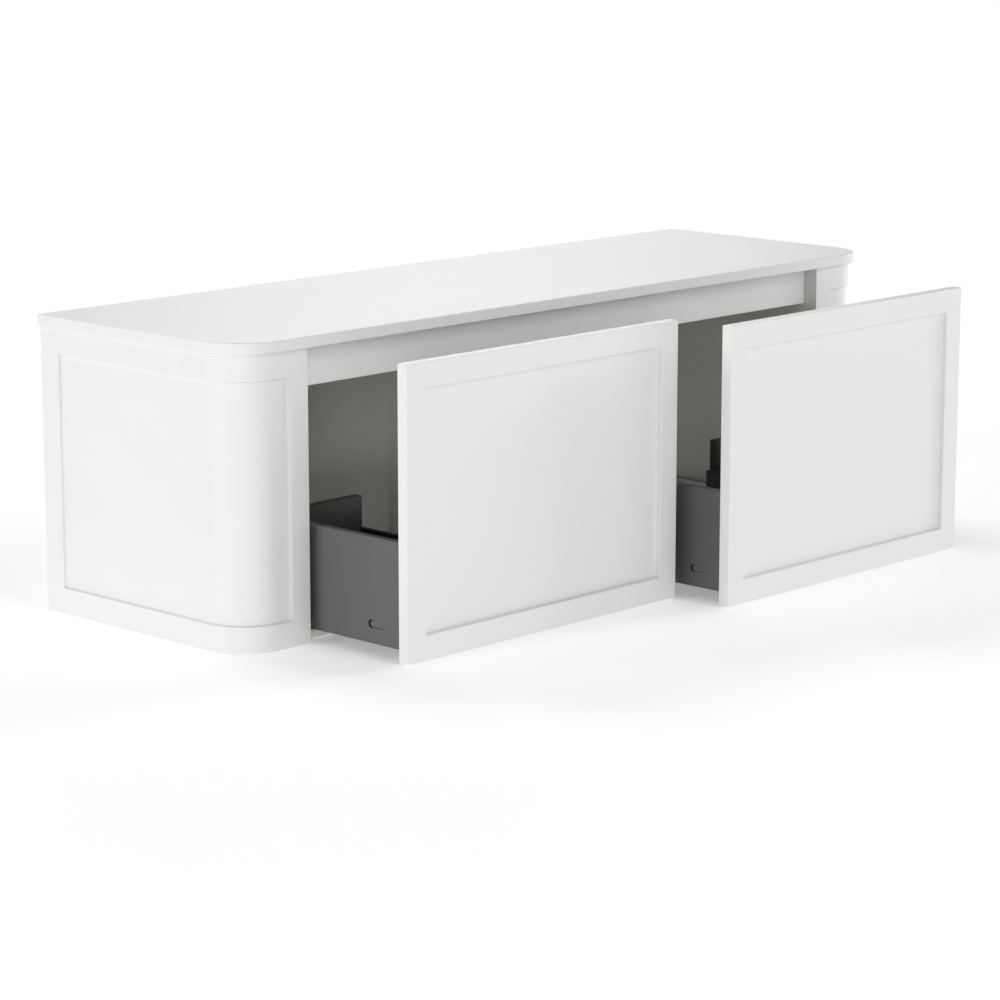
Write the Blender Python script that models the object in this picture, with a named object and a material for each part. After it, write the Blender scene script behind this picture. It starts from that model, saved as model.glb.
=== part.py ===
"""Low white cabinet with two wide drawers side by side, modelled at its real size.

Frame: origin at the middle of the footprint on the base plane, +X to the right,
the fronts face -Y, +Z up.  Both drawers stand partly open, as stored.
"""

import math

import bmesh
import bpy
from mathutils import Vector

# ---------------------------------------------------------------- driving sizes
WIDTH = 1.500  # over the top slab
DEPTH = 0.4675  # over the top slab
HEIGHT = 0.4715
FIT = 0.0003  # clearance between pieces that touch

TOP_THICKNESS = 0.018
TOP_RADIUS = 0.078
TOP_FRONT_OVERHANG = 0.0075
TOP_END_OVERHANG = 0.0055

SHELL = 0.019  # thickness of the wrap-around end panels
END_RADIUS = 0.0755
END_RAIL = 0.041  # plain margin above and below the end panel's field
END_BACK_STILE = 0.042
END_FRONT_STILE = 0.0365
END_FIELD_DEPTH = 0.0042
END_FIELD_SLOPE = 0.0028

BOARD = 0.018  # carcass boards
BASE_THICKNESS = 0.0135
OPENING_HALF = 0.606  # half of the clear width between the end panels
RAIL_HEIGHT = 0.0628
RAIL_END_GAP = 0.0015
RAIL_END_RADIUS = 0.010

FRONT_THICKNESS = 0.019
FRONT_REVEAL = 0.002  # to the end panel
FRONT_CENTRE = 0.003  # to the middle of the cabinet
FRONT_BOTTOM = 0.002
FRONT_TOP_REVEAL = 0.003
FRONT_FRAME = 0.0385
FRONT_FIELD_DEPTH = 0.006
FRONT_FIELD_SLOPE = 0.003
FRONT_GAP = 0.0013  # from a closed front to the carcass, which the bumpers take up

SIDE_THICKNESS = 0.013  # folded steel drawer side
SIDE_WALL = 0.0015
SIDE_CLEARANCE = 0.009  # from the steel side to the carcass
SIDE_BOTTOM = 0.020
SIDE_TOP = 0.183
SIDE_INNER_BOTTOM = 0.030
BOX_LENGTH = 0.3337

TRAY_BOTTOM = 0.0315
TRAY_THICKNESS = 0.016
REAR_THICKNESS = 0.016
REAR_TOP = 0.1753
CUTOUT_HALF = 0.065  # half width of the notch for pipes or cables
CUTOUT_DEPTH = 0.140
LINER_THICKNESS = 0.009
LINER_TOP = 0.1225

ADJUSTER_BACK = 0.0645  # hole centre, behind the drawer front
ADJUSTER_Z = 0.050
ADJUSTER_HOLE = 0.0068
ADJUSTER_CAM = 0.0052

RUNNER_TOP = 0.050
RUNNER_WALL = 0.0015
RUNNER_PLAY = 0.0005  # between members that slide past each other
TONGUE_TOP = 0.040  # passes below the adjuster
MIDDLE_RUNNER_LENGTH = 0.300

BRACKET_LENGTH = 0.030  # of the block behind the front, with an arm back to the adjuster
BRACKET_TOP = 0.165
BRACKET_WAIST = 0.075

BUMPER_RADIUS = 0.004
BUMPER_INSET = 0.034  # from the sides of the front
HANGER_REACH = 0.045
HANGER_PLATE = 0.003
HANGER_BOTTOM = 0.375
HANGER_TOP = 0.435

OPENED = {"left": 0.207, "right": 0.3112}  # how far each drawer stands out at rest

# ---------------------------------------------------------------- derived places
BACK_Y = 0.230
TOP_FRONT_Y = BACK_Y - DEPTH
FACE_Y = TOP_FRONT_Y + TOP_FRONT_OVERHANG  # front plane of the end panels and fronts
END_HALF = WIDTH / 2 - TOP_END_OVERHANG
UNDER_TOP = HEIGHT - TOP_THICKNESS
BOX_FRONT_Y = FACE_Y + FRONT_THICKNESS  # back of a closed drawer front
CARCASS_Y = BOX_FRONT_Y + FRONT_GAP
INNER_BACK_Y = BACK_Y - BOARD
SHELL_Y = FACE_Y + SHELL
BOX_REAR_Y = BOX_FRONT_Y + BOX_LENGTH
RUNNER_START_Y = CARCASS_Y + 0.003
RUNNER_END_Y = BOX_REAR_Y - 0.005
PARTITION_HALF = BOARD / 2
BOX_OUTER = OPENING_HALF - SIDE_CLEARANCE
BOX_INNER = PARTITION_HALF + SIDE_CLEARANCE
BOX_CENTRE = (BOX_OUTER + BOX_INNER) / 2
ARC_STEPS = 14
SIDES = {"left": -1, "right": 1}


# ---------------------------------------------------------------- helpers
def clear_scene():
    for obj in list(bpy.data.objects):
        bpy.data.objects.remove(obj, do_unlink=True)


def material(name, colour, roughness, metallic=0.0):
    """A plain Principled material."""
    made = bpy.data.materials.new(name)
    made.use_nodes = True
    shader = made.node_tree.nodes["Principled BSDF"]
    shader.inputs["Base Color"].default_value = (*colour, 1.0)
    shader.inputs["Roughness"].default_value = roughness
    shader.inputs["Metallic"].default_value = metallic
    return made


def new_object(name, bm, finish, parent=None):
    """Closes off a bmesh as a named object with one material."""
    bmesh.ops.recalc_face_normals(bm, faces=bm.faces)
    mesh = bpy.data.meshes.new(name)
    bm.to_mesh(mesh)
    bm.free()
    mesh.materials.append(finish)
    obj = bpy.data.objects.new(name, mesh)
    bpy.context.scene.collection.objects.link(obj)
    obj.parent = parent
    return obj


def soften(obj, width, segments=2):
    """Rounds the sharp edges and shades the piece smooth."""
    bevel = obj.modifiers.new("edges", "BEVEL")
    bevel.width = width
    bevel.segments = segments
    bevel.limit_method = "ANGLE"
    bevel.angle_limit = math.radians(40)
    obj.data.shade_smooth()
    obj.data.set_sharp_from_angle(angle=math.radians(35))
    return obj


def block(name, low, high, finish, parent=None, bevel=0.0):
    """A rectangular board between two corners, given in any order."""
    bm = bmesh.new()
    bmesh.ops.create_cube(bm, size=1.0)
    for vert in bm.verts:
        vert.co = Vector(
            low[i] if vert.co[i] < 0 else high[i] for i in range(3)
        )
    obj = new_object(name, bm, finish, parent)
    return soften(obj, bevel) if bevel else obj


def extruded(name, outline, along, start, end, finish, parent=None, bevel=0.0):
    """A closed outline swept straight along axis 0, 1 or 2 from start to end."""
    bm = bmesh.new()
    verts = []
    for first, second in outline:
        point = [first, second]
        point.insert(along, start)
        verts.append(bm.verts.new(point))
    face = bm.faces.new(verts)
    swept = bmesh.ops.extrude_face_region(bm, geom=[face])
    shift = Vector((0, 0, 0))
    shift[along] = end - start
    moved = [item for item in swept["geom"] if isinstance(item, bmesh.types.BMVert)]
    bmesh.ops.translate(bm, verts=moved, vec=shift)
    obj = new_object(name, bm, finish, parent)
    return soften(obj, bevel) if bevel else obj


def arc(centre, radius, start, end, steps=ARC_STEPS):
    """Points round a centre, between two angles in degrees."""
    points = []
    for step in range(steps + 1):
        angle = math.radians(start + (end - start) * step / steps)
        points.append(
            (centre[0] + radius * math.cos(angle), centre[1] + radius * math.sin(angle))
        )
    return points


def front_rounded(left, right, front, back, left_radius, right_radius):
    """A plan outline whose two front corners may be rounded."""
    points = [(right, back), (left, back)]
    if left_radius:
        centre = (left + left_radius, front + left_radius)
        points += arc(centre, left_radius, 180, 270)
    else:
        points.append((left, front))
    if right_radius:
        centre = (right - right_radius, front + right_radius)
        points += arc(centre, right_radius, 270, 360)
    else:
        points.append((right, front))
    return points


def mirrored(outline, sign):
    return [(sign * first, second) for first, second in outline]


# ---------------------------------------------------------------- end panels
def end_stations():
    """Places along an end panel's outer face, back to front edge, as (point, normal)."""
    corner = Vector((END_HALF - END_RADIUS, FACE_Y + END_RADIUS))
    stations = []
    field_start = BACK_Y - END_BACK_STILE
    for y in (BACK_Y, field_start, field_start - END_FIELD_SLOPE):
        stations.append((Vector((END_HALF, y)), Vector((1, 0))))
    for step in range(ARC_STEPS + 1):
        angle = math.pi / 2 * step / ARC_STEPS
        normal = Vector((math.cos(angle), -math.sin(angle)))
        stations.append((corner + END_RADIUS * normal, normal))
    field_end = OPENING_HALF + END_FRONT_STILE
    for x in (field_end + END_FIELD_SLOPE, field_end, OPENING_HALF):
        stations.append((Vector((x, FACE_Y)), Vector((0, -1))))
    return stations


def end_panel(name, sign, finish):
    """A board bent round the front corner, with a sunk field on its outer face."""
    top = UNDER_TOP - FIT
    low_field = END_RAIL
    high_field = UNDER_TOP - END_RAIL
    levels = [
        (0.0, 0.0),
        (low_field, 0.0),
        (low_field + END_FIELD_SLOPE, END_FIELD_DEPTH),
        (high_field - END_FIELD_SLOPE, END_FIELD_DEPTH),
        (high_field, 0.0),
        (top, 0.0),
    ]
    stations = end_stations()
    bm = bmesh.new()
    outer = []
    inner = []
    for index, (point, normal) in enumerate(stations):
        in_field = 2 <= index <= len(stations) - 3
        column = []
        for z, depth in levels:
            sunk = point - normal * (depth if in_field else 0.0)
            column.append(bm.verts.new((sign * sunk.x, sunk.y, z)))
        outer.append(column)
        back = point - normal * SHELL
        inner.append([bm.verts.new((sign * back.x, back.y, z)) for z in (0.0, top)])
    for left, right, back_left, back_right in zip(outer, outer[1:], inner, inner[1:]):
        for row in range(len(levels) - 1):
            bm.faces.new((left[row], right[row], right[row + 1], left[row + 1]))
        bm.faces.new((back_left[0], back_left[1], back_right[1], back_right[0]))
        bm.faces.new((left[0], back_left[0], back_right[0], right[0]))
        bm.faces.new((left[-1], right[-1], back_right[1], back_left[1]))
    for column, back in ((outer[0], inner[0]), (outer[-1], inner[-1])):
        bm.faces.new([*column, back[1], back[0]])
    return soften(new_object(name, bm, finish), 0.0012)


# ---------------------------------------------------------------- carcass
def top_slab(finish):
    outline = front_rounded(
        -WIDTH / 2, WIDTH / 2, TOP_FRONT_Y, BACK_Y, TOP_RADIUS, TOP_RADIUS
    )
    return extruded("top_slab", outline, 2, UNDER_TOP, HEIGHT, finish, bevel=0.0015)


def front_rail(finish):
    """The set-back fascia under the slab, with softly rounded ends."""
    half = OPENING_HALF - RAIL_END_GAP
    outline = front_rounded(
        -half, half, CARCASS_Y, CARCASS_Y + BOARD, RAIL_END_RADIUS, RAIL_END_RADIUS
    )
    bottom = UNDER_TOP - RAIL_HEIGHT
    return extruded(
        "front_rail", outline, 2, bottom, UNDER_TOP - FIT, finish, bevel=0.001
    )


def centre_partition(finish):
    """The board between the drawers, notched for the front rail."""
    top = UNDER_TOP - FIT
    notch_z = UNDER_TOP - RAIL_HEIGHT - FIT
    notch_y = CARCASS_Y + BOARD + FIT
    outline = [
        (CARCASS_Y, BASE_THICKNESS + FIT),
        (INNER_BACK_Y - FIT, BASE_THICKNESS + FIT),
        (INNER_BACK_Y - FIT, top),
        (notch_y, top),
        (notch_y, notch_z),
        (CARCASS_Y, notch_z),
    ]
    return extruded(
        "centre_partition", outline, 0, -PARTITION_HALF, PARTITION_HALF, finish
    )


def carcass_boards(finish):
    top = UNDER_TOP - FIT
    back = INNER_BACK_Y - FIT
    inside = END_HALF - SHELL - FIT
    base_half = OPENING_HALF - FIT
    block(
        "bottom_panel",
        (-base_half, CARCASS_Y, 0),
        (base_half, back, BASE_THICKNESS),
        finish,
        bevel=0.0005,
    )
    block("back_panel", (-inside, INNER_BACK_Y, 0), (inside, BACK_Y, top), finish)
    outer_face = OPENING_HALF + BOARD
    for side, sign in SIDES.items():
        block(
            f"{side}_carcass_side",
            (sign * OPENING_HALF, SHELL_Y + FIT, 0),
            (sign * outer_face, back, top),
            finish,
        )
        radius = END_RADIUS - SHELL
        outline = front_rounded(
            outer_face + FIT, inside, SHELL_Y + FIT, back, 0, radius
        )
        extruded(
            f"{side}_end_base", mirrored(outline, sign), 2, 0, BASE_THICKNESS, finish
        )


def hanger_bracket(side, sign, finish):
    """A steel angle in the upper rear corner, which takes the wall screw."""
    face = OPENING_HALF - FIT
    back = INNER_BACK_Y - FIT
    outline = [
        (face, back),
        (face, back - HANGER_REACH),
        (face - HANGER_PLATE, back - HANGER_REACH),
        (face - HANGER_PLATE, back - HANGER_PLATE),
        (face - HANGER_REACH, back - HANGER_PLATE),
        (face - HANGER_REACH, back),
    ]
    return extruded(
        f"{side}_hanger_bracket",
        mirrored(outline, sign),
        2,
        HANGER_BOTTOM,
        HANGER_TOP,
        finish,
        bevel=0.0006,
    )


# ---------------------------------------------------------------- drawers
def across(side, place, depth):
    """World X at a depth into a steel side, counted from its face to the carcass."""
    face, inward = (BOX_OUTER, -1) if place == "outer" else (BOX_INNER, 1)
    return SIDES[side] * (face + inward * depth)


def profile_points(section, side, place):
    """A profile's section, given as depths into the steel side and heights."""
    return [(across(side, place, depth), z) for depth, z in section]


def steel_side(side, place, finish, parent):
    """A folded steel side, open below for the runner, with a hole for the adjuster."""
    far = SIDE_THICKNESS
    section = [
        (0, SIDE_BOTTOM),
        (0, SIDE_TOP),
        (far, SIDE_TOP),
        (far, SIDE_INNER_BOTTOM),
        (far - SIDE_WALL, SIDE_INNER_BOTTOM),
        (far - SIDE_WALL, SIDE_TOP - SIDE_WALL),
        (SIDE_WALL, SIDE_TOP - SIDE_WALL),
        (SIDE_WALL, SIDE_BOTTOM),
    ]
    piece = extruded(
        f"{side}_drawer_{place}_side",
        profile_points(section, side, place),
        1,
        BOX_FRONT_Y + FIT,
        BOX_REAR_Y,
        finish,
        parent,
    )
    through = 2 * SIDE_WALL
    cutter = disc(
        f"{side}_{place}_hole_cutter",
        side,
        place,
        ADJUSTER_HOLE,
        -through,
        through,
        finish,
        parent,
    )
    cutter.hide_render = True
    cutter.display_type = "WIRE"
    hole = piece.modifiers.new("adjuster_hole", "BOOLEAN")
    hole.operation = "DIFFERENCE"
    hole.object = cutter
    return piece


def disc(name, side, place, radius, near, far, finish, parent):
    """A short round bar through a steel side, at the adjuster's place."""
    centre = (BOX_FRONT_Y + ADJUSTER_BACK, ADJUSTER_Z)
    outline = arc(centre, radius, 0, 360, 24)[:-1]
    start, end = across(side, place, near), across(side, place, far)
    return extruded(name, outline, 0, start, end, finish, parent)


def bottom_tray(side, finish, parent):
    """The drawer's bottom board with its notch at the back."""
    sign = SIDES[side]
    inner = BOX_INNER + SIDE_THICKNESS + FIT
    outer = BOX_OUTER - SIDE_THICKNESS - FIT
    front = BOX_FRONT_Y + FIT
    notch_y = BOX_REAR_Y - CUTOUT_DEPTH
    outline = [
        (inner, front),
        (outer, front),
        (outer, BOX_REAR_Y),
        (BOX_CENTRE + CUTOUT_HALF, BOX_REAR_Y),
        (BOX_CENTRE + CUTOUT_HALF, notch_y),
        (BOX_CENTRE - CUTOUT_HALF, notch_y),
        (BOX_CENTRE - CUTOUT_HALF, BOX_REAR_Y),
        (inner, BOX_REAR_Y),
    ]
    return extruded(
        f"{side}_drawer_bottom",
        mirrored(outline, sign),
        2,
        TRAY_BOTTOM,
        TRAY_BOTTOM + TRAY_THICKNESS,
        finish,
        parent,
    )


def cutout_liner(side, finish, parent):
    """The low black wall round three sides of the notch."""
    sign = SIDES[side]
    outside = CUTOUT_HALF - FIT
    inside = outside - LINER_THICKNESS
    front = BOX_REAR_Y - CUTOUT_DEPTH + FIT
    outline = [
        (BOX_CENTRE - outside, BOX_REAR_Y),
        (BOX_CENTRE - outside, front),
        (BOX_CENTRE + outside, front),
        (BOX_CENTRE + outside, BOX_REAR_Y),
        (BOX_CENTRE + inside, BOX_REAR_Y),
        (BOX_CENTRE + inside, front + LINER_THICKNESS),
        (BOX_CENTRE - inside, front + LINER_THICKNESS),
        (BOX_CENTRE - inside, BOX_REAR_Y),
    ]
    return extruded(
        f"{side}_drawer_cutout_liner",
        mirrored(outline, sign),
        2,
        TRAY_BOTTOM,
        LINER_TOP,
        finish,
        parent,
    )


def rear_panels(side, finish, parent):
    """The two halves of the drawer's back, either side of the notch."""
    sign = SIDES[side]
    low = TRAY_BOTTOM + TRAY_THICKNESS + FIT
    spans = {
        "outer": (BOX_CENTRE + CUTOUT_HALF, BOX_OUTER - SIDE_THICKNESS - FIT),
        "inner": (BOX_INNER + SIDE_THICKNESS + FIT, BOX_CENTRE - CUTOUT_HALF),
    }
    for place, (start, end) in spans.items():
        block(
            f"{side}_drawer_{place}_rear",
            (sign * start, BOX_REAR_Y - REAR_THICKNESS, low),
            (sign * end, BOX_REAR_Y, REAR_TOP),
            finish,
            parent,
            bevel=0.0005,
        )


def drawer_front(side, finish, parent):
    """A framed front: a flat border round a sunk field with sloped walls."""
    sign = SIDES[side]
    left, right = sorted((sign * FRONT_CENTRE, sign * (OPENING_HALF - FRONT_REVEAL)))
    low, high = FRONT_BOTTOM, UNDER_TOP - FRONT_TOP_REVEAL
    rings = []
    bm = bmesh.new()
    for inset, y in (
        (0, BOX_FRONT_Y),
        (0, FACE_Y),
        (FRONT_FRAME, FACE_Y),
        (FRONT_FRAME + FRONT_FIELD_SLOPE, FACE_Y + FRONT_FIELD_DEPTH),
    ):
        corners = (
            (left + inset, low + inset),
            (right - inset, low + inset),
            (right - inset, high - inset),
            (left + inset, high - inset),
        )
        rings.append([bm.verts.new((x, y, z)) for x, z in corners])
    bm.faces.new(rings[0])
    bm.faces.new(rings[-1])
    for ring, following in zip(rings, rings[1:]):
        for corner in range(4):
            after = (corner + 1) % 4
            bm.faces.new(
                (ring[corner], ring[after], following[after], following[corner])
            )
    return soften(new_object(f"{side}_drawer_front", bm, finish, parent), 0.0012)


def bumpers(side, finish, parent):
    """Four soft dots on the back of the front, over the rail and the base."""
    sign = SIDES[side]
    near, far = BUMPER_INSET, OPENING_HALF - BUMPER_INSET
    high, low = UNDER_TOP - RAIL_HEIGHT / 2, BASE_THICKNESS / 2
    spots = {
        "top_inner": (near, high),
        "top_outer": (far, high),
        "low_inner": (near, low),
        "low_outer": (far, low),
    }
    for spot, (x, z) in spots.items():
        outline = arc((sign * x, z), BUMPER_RADIUS, 0, 360, 16)[:-1]
        extruded(
            f"{side}_bumper_{spot}",
            outline,
            1,
            BOX_FRONT_Y + FIT,
            CARCASS_Y - FIT,
            finish,
            parent,
        )


def front_bracket(side, place, finish, parent):
    """The block inside a steel side that holds the front, with an arm to its adjuster."""
    front = BOX_FRONT_Y + FIT
    arm_end = BOX_FRONT_Y + ADJUSTER_BACK + ADJUSTER_HOLE
    arm_low = ADJUSTER_Z + ADJUSTER_CAM + FIT
    outline = [
        (front, arm_low),
        (arm_end, arm_low),
        (arm_end, arm_low + ADJUSTER_CAM),
        (BOX_FRONT_Y + BRACKET_LENGTH, BRACKET_WAIST),
        (BOX_FRONT_Y + BRACKET_LENGTH, BRACKET_TOP),
        (front, BRACKET_TOP),
    ]
    near = across(side, place, SIDE_WALL + FIT)
    far = across(side, place, SIDE_THICKNESS - SIDE_WALL - FIT)
    name = f"{side}_{place}_front_bracket"
    return extruded(name, outline, 0, near, far, finish, parent)


def drawer(side, finishes):
    """One whole drawer, modelled closed and carried out by its parent."""
    carrier = bpy.data.objects.new(f"{side}_drawer", None)
    bpy.context.scene.collection.objects.link(carrier)
    carrier.location = (0, -OPENED[side], 0)
    drawer_front(side, finishes["lacquer"], carrier)
    bottom_tray(side, finishes["black_board"], carrier)
    rear_panels(side, finishes["black_board"], carrier)
    cutout_liner(side, finishes["black_board"], carrier)
    bumpers(side, finishes["bumper"], carrier)
    for place in ("outer", "inner"):
        steel_side(side, place, finishes["dark_steel"], carrier)
        front_bracket(side, place, finishes["zinc"], carrier)
        disc(
            f"{side}_{place}_adjuster",
            side,
            place,
            ADJUSTER_CAM,
            FIT,
            2 * SIDE_WALL,
            finishes["cam"],
            carrier,
        )
        drawer_runner(side, place, finishes["zinc"], carrier)


# ---------------------------------------------------------------- runners
def drawer_runner(side, place, finish, parent):
    """The member that is fixed inside the steel side."""
    far = SIDE_THICKNESS - SIDE_WALL - FIT
    near = far - RUNNER_WALL
    low, high = SIDE_BOTTOM + RUNNER_WALL, RUNNER_TOP - RUNNER_WALL
    section = [(near, low), (far, low), (far, high), (near, high)]
    return extruded(
        f"{side}_{place}_drawer_runner",
        profile_points(section, side, place),
        1,
        BOX_FRONT_Y + ADJUSTER_BACK + BRACKET_LENGTH,
        RUNNER_END_Y,
        finish,
        parent,
    )


def cabinet_runner(side, place, finish):
    """The member screwed to the carcass: it reaches under and up into the steel side."""
    plate = -SIDE_CLEARANCE + FIT
    tongue = SIDE_WALL + RUNNER_PLAY
    low = BASE_THICKNESS + 2 * FIT
    section = [
        (plate, low),
        (tongue + RUNNER_WALL, low),
        (tongue + RUNNER_WALL, TONGUE_TOP),
        (tongue, TONGUE_TOP),
        (tongue, low + RUNNER_WALL),
        (plate + RUNNER_WALL, low + RUNNER_WALL),
        (plate + RUNNER_WALL, TONGUE_TOP),
        (plate, TONGUE_TOP),
    ]
    return extruded(
        f"{side}_{place}_cabinet_runner",
        profile_points(section, side, place),
        1,
        RUNNER_START_Y,
        RUNNER_END_Y,
        finish,
    )


def middle_runners(side, finish):
    """The two channels between cabinet and drawer, which travel half as far."""
    carrier = bpy.data.objects.new(f"{side}_middle_runners", None)
    bpy.context.scene.collection.objects.link(carrier)
    carrier.location = (0, -OPENED[side] / 2, 0)
    near = SIDE_WALL + RUNNER_WALL + 2 * RUNNER_PLAY
    far = SIDE_THICKNESS - SIDE_WALL - FIT - RUNNER_WALL - RUNNER_PLAY
    low, high = SIDE_BOTTOM, RUNNER_TOP
    section = [
        (near, low),
        (far, low),
        (far, low + RUNNER_WALL),
        (near + RUNNER_WALL, low + RUNNER_WALL),
        (near + RUNNER_WALL, high - RUNNER_WALL),
        (far, high - RUNNER_WALL),
        (far, high),
        (near, high),
    ]
    for place in ("outer", "inner"):
        extruded(
            f"{side}_{place}_middle_runner",
            profile_points(section, side, place),
            1,
            RUNNER_START_Y,
            RUNNER_START_Y + MIDDLE_RUNNER_LENGTH,
            finish,
            carrier,
        )


# ---------------------------------------------------------------- assembly
def main():
    clear_scene()
    finishes = {
        "lacquer": material("white_lacquer", (0.86, 0.86, 0.85), 0.28),
        "board": material("carcass_board", (0.86, 0.85, 0.815), 0.5),
        "black_board": material("black_board", (0.018, 0.018, 0.018), 0.55),
        "dark_steel": material("anthracite_steel", (0.115, 0.12, 0.12), 0.42, 0.35),
        "zinc": material("zinc_plated_steel", (0.62, 0.62, 0.60), 0.35, 1.0),
        "cam": material("adjuster_plastic", (0.095, 0.097, 0.096), 0.5),
        "bumper": material("clear_bumper", (0.8, 0.8, 0.78), 0.4),
    }
    top_slab(finishes["lacquer"])
    for side, sign in SIDES.items():
        end_panel(f"{side}_end_panel", sign, finishes["lacquer"])
        hanger_bracket(side, sign, finishes["zinc"])
    front_rail(finishes["lacquer"])
    centre_partition(finishes["board"])
    carcass_boards(finishes["board"])
    for side in SIDES:
        for place in ("outer", "inner"):
            cabinet_runner(side, place, finishes["zinc"])
        middle_runners(side, finishes["zinc"])
        drawer(side, finishes)


main()
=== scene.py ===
# %% [markdown]
# # A low white cabinet with two wide drawers
#
# The cabinet is a slab top on a body whose end panels bend round the front corners, with a set-back
# rail under the top and two framed drawer fronts. This script dresses a measured CAD frame: every
# place and size below is read from that frame, so no piece needs fitting afterwards.
#
# The frame could also be traced again by hand in Blender. Loading it is safer, because the boards,
# the drawers and their travel then stay exactly as they were designed.

import math

import bmesh
import bpy
from mathutils import Matrix, Vector


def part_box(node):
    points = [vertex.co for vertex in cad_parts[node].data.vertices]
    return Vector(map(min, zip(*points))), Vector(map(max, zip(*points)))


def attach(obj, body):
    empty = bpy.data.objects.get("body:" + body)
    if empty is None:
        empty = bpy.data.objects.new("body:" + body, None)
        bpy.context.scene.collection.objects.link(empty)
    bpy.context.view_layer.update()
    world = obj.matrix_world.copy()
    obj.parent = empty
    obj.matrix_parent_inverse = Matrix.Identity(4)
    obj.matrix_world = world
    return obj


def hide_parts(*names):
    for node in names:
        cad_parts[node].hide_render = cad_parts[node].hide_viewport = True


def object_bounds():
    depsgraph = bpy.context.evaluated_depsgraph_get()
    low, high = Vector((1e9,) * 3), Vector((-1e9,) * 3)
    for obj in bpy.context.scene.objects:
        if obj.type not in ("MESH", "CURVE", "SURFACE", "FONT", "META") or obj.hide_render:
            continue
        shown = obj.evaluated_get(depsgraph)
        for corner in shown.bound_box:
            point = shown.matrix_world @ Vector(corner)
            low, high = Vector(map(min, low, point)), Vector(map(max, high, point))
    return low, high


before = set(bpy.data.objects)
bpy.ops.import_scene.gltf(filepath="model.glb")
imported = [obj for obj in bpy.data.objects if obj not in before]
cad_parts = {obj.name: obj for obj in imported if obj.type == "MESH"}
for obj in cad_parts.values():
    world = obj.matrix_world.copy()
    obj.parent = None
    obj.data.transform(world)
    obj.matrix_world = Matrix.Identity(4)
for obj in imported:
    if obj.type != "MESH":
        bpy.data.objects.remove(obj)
cad_low, cad_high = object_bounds()
SIDES = {"left": -1, "right": 1}
print("overall size in metres:", [round(v, 4) for v in cad_high - cad_low])

# %% [markdown]
# ## Textures that several finishes share
#
# Sprayed lacquer, pressed board, powder coat and drawn metal all have a fine relief that you only
# notice in the highlights. It could be painted as an image, but images have one fixed resolution.
# Each relief here is a small shader node group on Object coordinates, so one metre in the scene is
# one metre of texture on every piece, and each finish sets its own strength.


# %% A helper for shader node groups
def shader_group(name, inputs, outputs):
    """An empty group with named float inputs (with defaults) and named outputs."""
    group = bpy.data.node_groups.new(name, "ShaderNodeTree")
    for label, default in inputs.items():
        socket = group.interface.new_socket(label, in_out="INPUT", socket_type="NodeSocketFloat")
        socket.default_value = default
    for label in outputs:
        group.interface.new_socket(label, in_out="OUTPUT", socket_type="NodeSocketFloat")
    return group, group.nodes.new("NodeGroupInput"), group.nodes.new("NodeGroupOutput")


def noise(group, vector, scale, detail, roughness=0.5):
    """A noise texture read at a vector; scale is a socket or a number."""
    node = group.nodes.new("ShaderNodeTexNoise")
    node.inputs["Detail"].default_value = detail
    node.inputs["Roughness"].default_value = roughness
    group.links.new(vector, node.inputs["Vector"])
    if isinstance(scale, bpy.types.NodeSocket):
        group.links.new(scale, node.inputs["Scale"])
    else:
        node.inputs["Scale"].default_value = scale
    return node.outputs["Fac"]


def calculate(group, operation, first, second=None, third=None):
    """One Math node; each value is a socket or a number."""
    node = group.nodes.new("ShaderNodeMath")
    node.operation = operation
    for value, socket in zip((first, second, third), node.inputs):
        if isinstance(value, bpy.types.NodeSocket):
            group.links.new(value, socket)
        elif value is not None:
            socket.default_value = value
    return node.outputs[0]


def stretched(group, scale):
    """Object coordinates times a scale; a small number draws the grain out along that axis."""
    place = group.nodes.new("ShaderNodeTexCoord")
    mapping = group.nodes.new("ShaderNodeMapping")
    mapping.inputs["Scale"].default_value = scale
    group.links.new(place.outputs["Object"], mapping.inputs["Vector"])
    return mapping.outputs["Vector"]


# %% The shared groups
def spray_ripple():
    """Orange peel: a soft ripple of about 2 mm, and a broad cloudiness of the gloss."""
    group, given, made = shader_group(
        "spray_ripple", {"Ripples per metre": 420.0, "Cloud": 0.04}, ["Height", "Gloss cloud"]
    )
    at = stretched(group, (1, 1, 1))
    ripple = noise(group, at, given.outputs["Ripples per metre"], detail=1.5)
    cloud = calculate(group, "SUBTRACT", noise(group, at, scale=7.0, detail=3.0), 0.5)
    group.links.new(ripple, made.inputs["Height"])
    cloud = calculate(group, "MULTIPLY", cloud, given.outputs["Cloud"])
    group.links.new(cloud, made.inputs["Gloss cloud"])
    return group


def pressed_pearl():
    """The pearl texture of melamine-faced board: tiny pits, and a faint paper mottle."""
    group, given, made = shader_group(
        "pressed_pearl", {"Pits per metre": 1300.0, "Mottle": 0.1}, ["Height", "Tone"]
    )
    at = stretched(group, (1, 1, 1))
    pits = noise(group, at, given.outputs["Pits per metre"], detail=2.0, roughness=0.6)
    fibres = noise(group, at, scale=260.0, detail=4.0, roughness=0.7)
    fine = calculate(group, "SUBTRACT", fibres, 0.5)
    broad = calculate(group, "SUBTRACT", noise(group, at, scale=11.0, detail=2.0), 0.5)
    tone = calculate(group, "ADD", fine, calculate(group, "MULTIPLY", broad, 0.6))
    group.links.new(pits, made.inputs["Height"])
    tone = calculate(group, "MULTIPLY", tone, given.outputs["Mottle"])
    group.links.new(tone, made.inputs["Tone"])
    return group


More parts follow.
